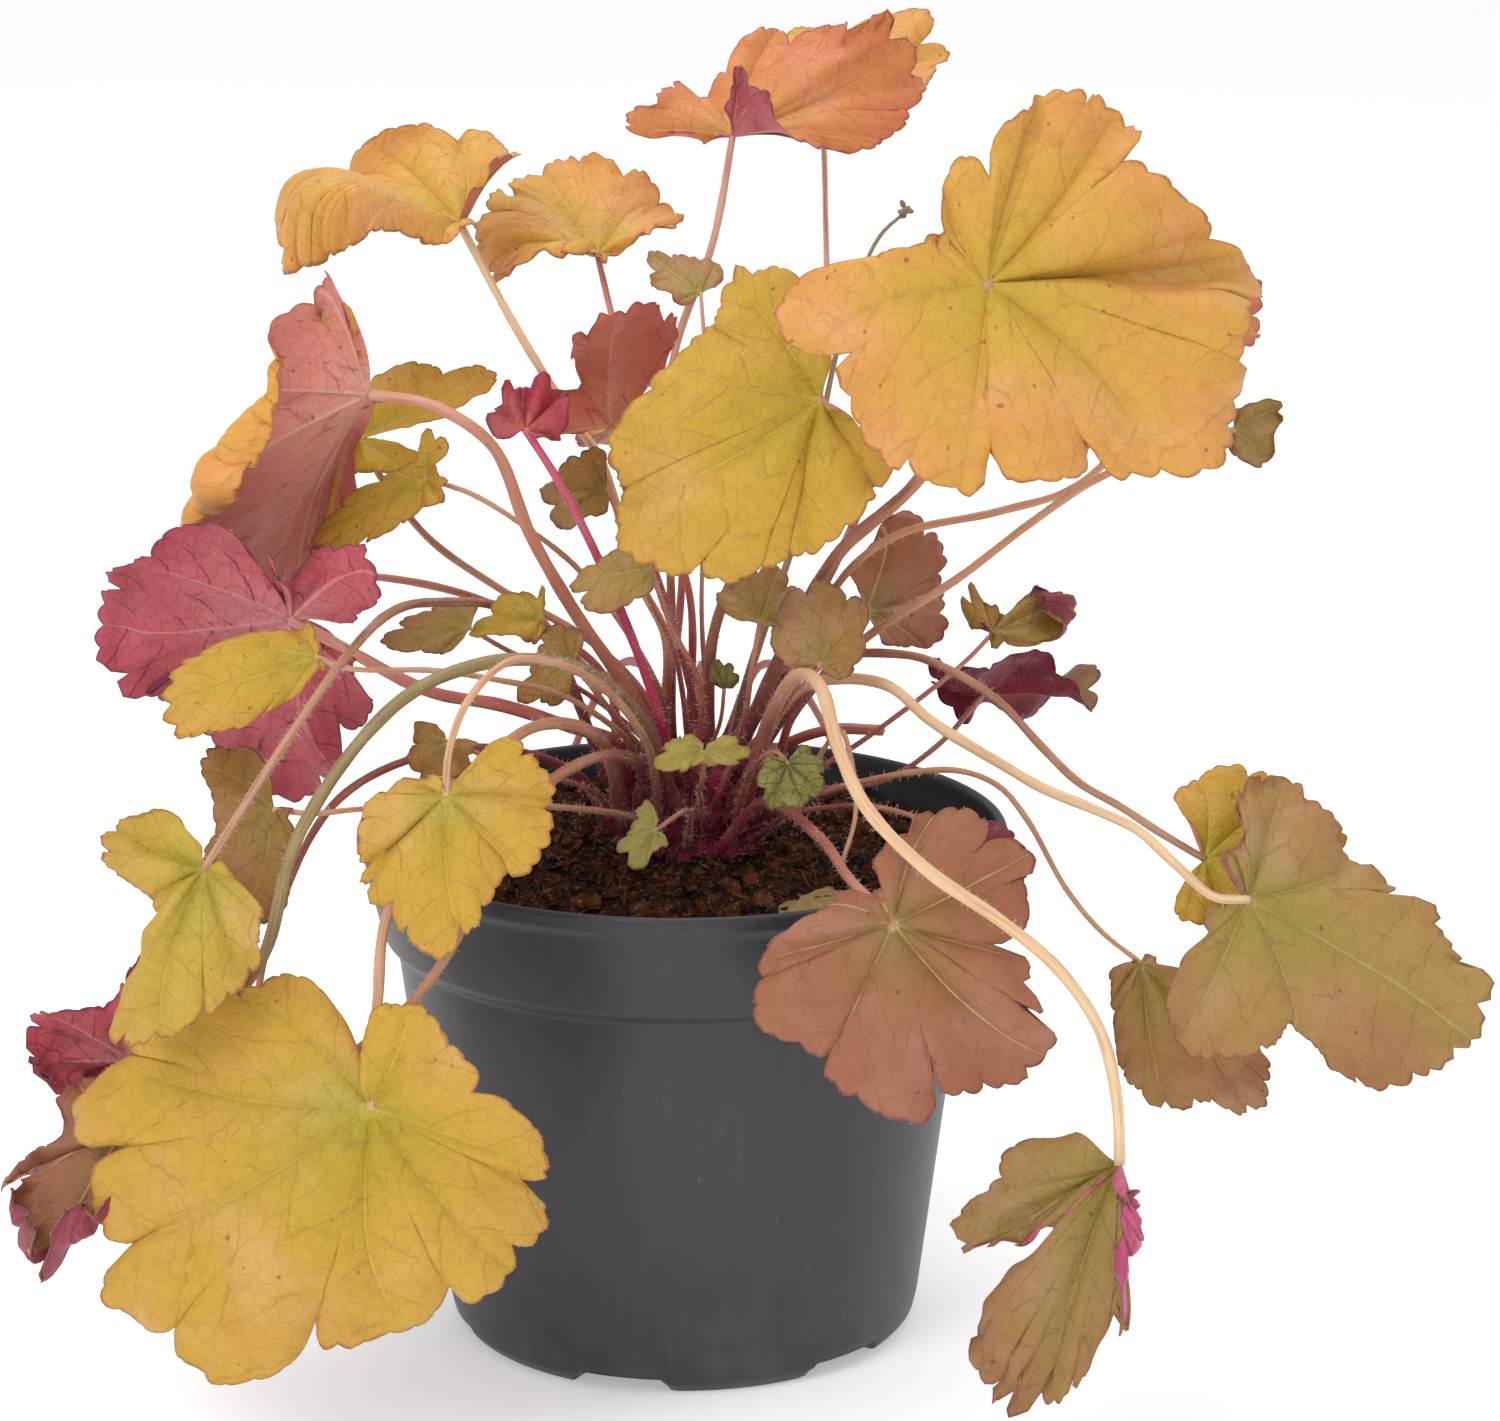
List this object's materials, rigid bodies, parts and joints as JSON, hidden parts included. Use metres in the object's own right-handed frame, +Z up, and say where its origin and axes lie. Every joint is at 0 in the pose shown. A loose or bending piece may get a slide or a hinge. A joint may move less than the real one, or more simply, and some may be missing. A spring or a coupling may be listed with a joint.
{
  "type": "potted heuchera plant",
  "caption": "Amber-leaved heuchera plant with long arching leaf stalks and lobed, waved leaves, rooted in compost in a plain round nursery pot.",
  "frame": {"origin": "middle of the pot's base, on the floor it stands on", "axes": "+Z up along the pot's axis; the plant's front, with its lowest hanging leaves, faces -Y; +X to the right seen from the front"},
  "size_m": [0.3661, 0.2587, 0.3337],
  "materials": {
    "pot": "satin moulded plastic, dark grey",
    "compost": "dry crumbly fibrous potting compost",
    "crown": "magenta hairy woody crown with bud scales",
    "yellow": "yellow leaf with amber flush, satin",
    "gold": "apricot and gold leaf, satin",
    "burgundy": "burgundy red leaf, satin",
    "brown": "coppery brown leaf, matte",
    "olive": "olive and amber leaf, satin",
    "salmon": "salmon leaf seen partly from its rosy underside, satin",
    "lime": "lime and amber leaf, satin",
    "straw": "dry straw coloured stem or dead leaf, matte",
    "green": "small green leaf, satin"
  },
  "bodies": {
    "root": {"pot": "pot", "compost": "compost", "crown": "crown", "leaf_back_high_middle": "yellow", "leaf_back_high_right": "gold", "leaf_back_left_middle": "burgundy", "leaf_back_low_left": "brown", "leaf_back_low_middle": "olive", "leaf_back_low_right": "gold", "leaf_behind_centre_light": "olive", "leaf_behind_top_right": "salmon", "leaf_centre_yellow": "yellow", "leaf_compost_brown": "brown", "leaf_compost_green": "lime", "leaf_compost_pale": "straw", "leaf_crown_green": "green", "leaf_crown_small_green": "green", "leaf_crown_yellow": "yellow", "leaf_far_left_brown": "brown", "leaf_far_left_burgundy": "burgundy", "leaf_front_left": "yellow", "leaf_hanging_right": "olive", "leaf_left_brown": "brown", "leaf_left_burgundy": "burgundy", "leaf_left_curled": "lime", "leaf_left_dark": "brown", "leaf_left_lime": "lime", "leaf_left_pink": "salmon", "leaf_left_small_yellow": "yellow", "leaf_left_violet": "olive", "leaf_left_yellow_behind": "yellow", "leaf_left_yellow_hanging": "yellow", "leaf_low_left_behind": "olive", "leaf_middle_brown": "brown", "leaf_middle_brown_right": "brown", "leaf_middle_crinkled": "burgundy", "leaf_middle_dark": "brown", "leaf_middle_salmon": "salmon", "leaf_pot_front_brown": "brown", "leaf_pot_front_violet": "burgundy", "leaf_right_behind": "yellow", "leaf_right_large": "olive", "leaf_right_low_olive": "olive", "leaf_right_upper_small": "olive", "leaf_right_waved_lower": "burgundy", "leaf_right_waved_upper": "brown", "leaf_rim_crinkled": "brown", "leaf_rim_left": "yellow", "leaf_top": "salmon", "leaf_top_behind": "gold", "leaf_top_right_large": "gold", "leaf_under_centre_left": "olive", "leaf_under_centre_right": "olive", "leaf_upper_left": "gold", "leaf_upper_middle": "gold", "cut_stalk": "burgundy", "dried_flower_stem": "straw", "dry_hoop": "straw"}
  },
  "joints": []
}
